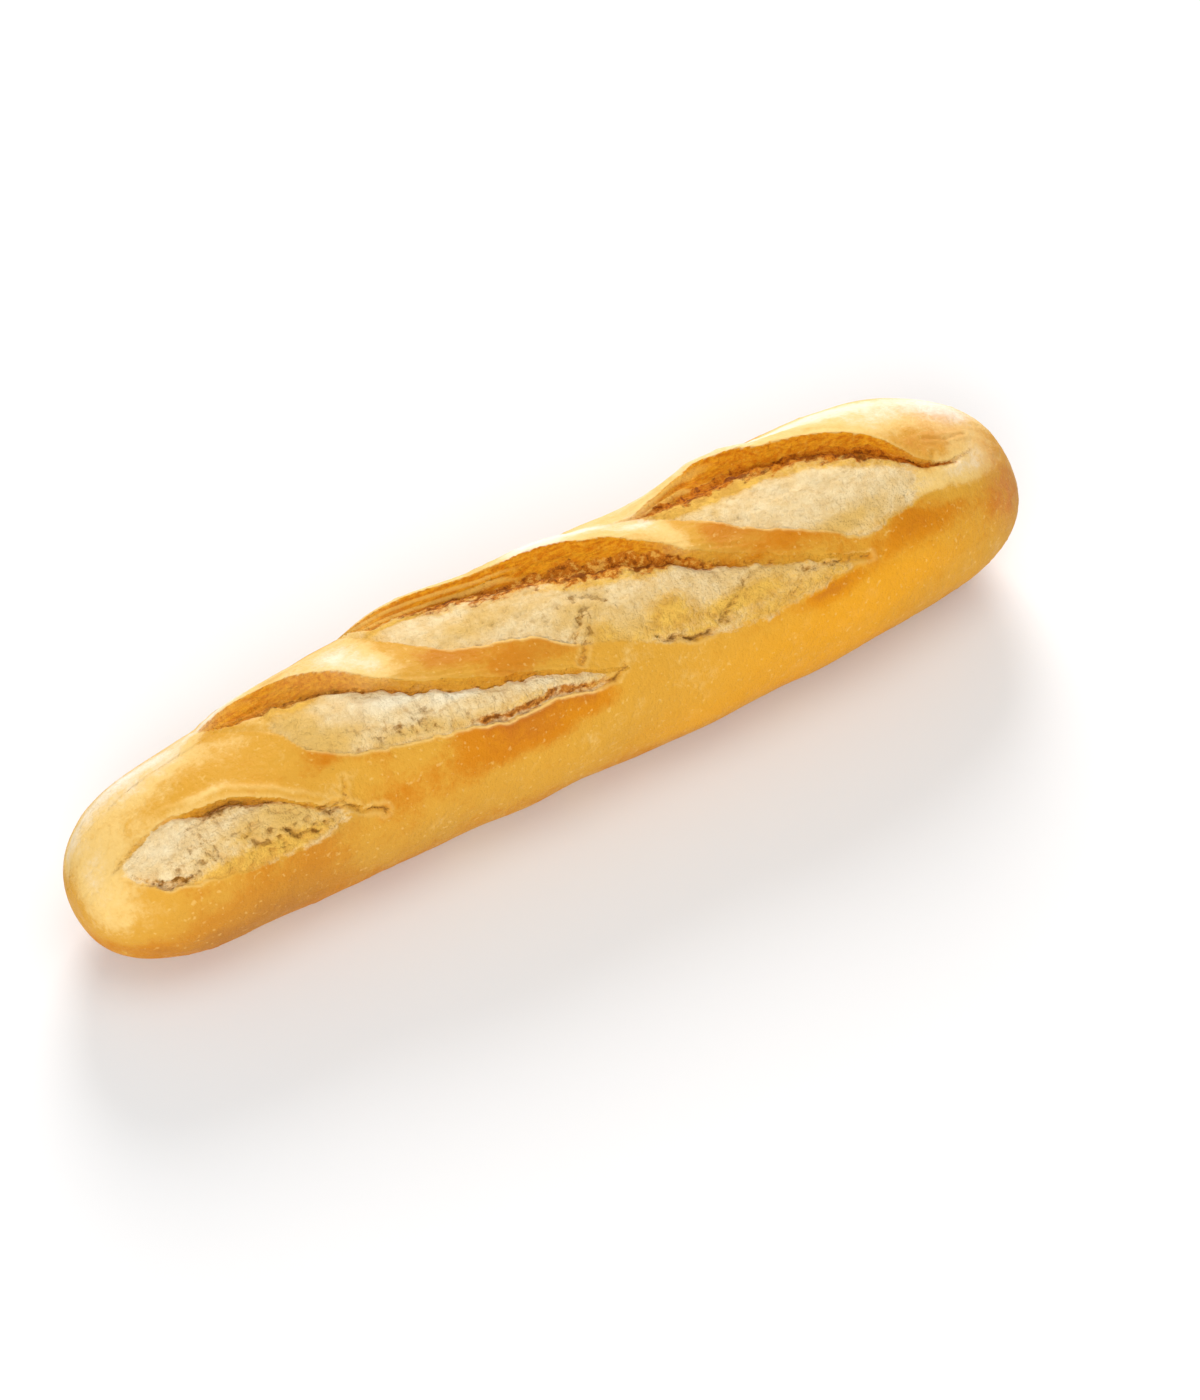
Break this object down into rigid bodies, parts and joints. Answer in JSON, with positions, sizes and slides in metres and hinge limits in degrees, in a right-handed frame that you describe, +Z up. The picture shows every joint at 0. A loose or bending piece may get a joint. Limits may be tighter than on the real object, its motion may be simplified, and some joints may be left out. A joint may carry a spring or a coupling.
{
  "type": "baguette",
  "caption": "Short crusty baguette with round ends, a flat underside and long slanting scored cuts that opened into raised crust ears over pale crumb.",
  "frame": {"origin": "centre of the loaf's bounding box, on the underside that it rests on", "axes": "+X along the loaf towards its fuller end, +Y towards its back where the cuts start, +Z up through the crown"},
  "size_m": [0.274, 0.0634, 0.0576],
  "materials": {
    "crust": "matte to satin baked crust, golden, with pale torn crumb in the cuts"
  },
  "bodies": {
    "root": {"loaf": "crust"}
  },
  "joints": []
}
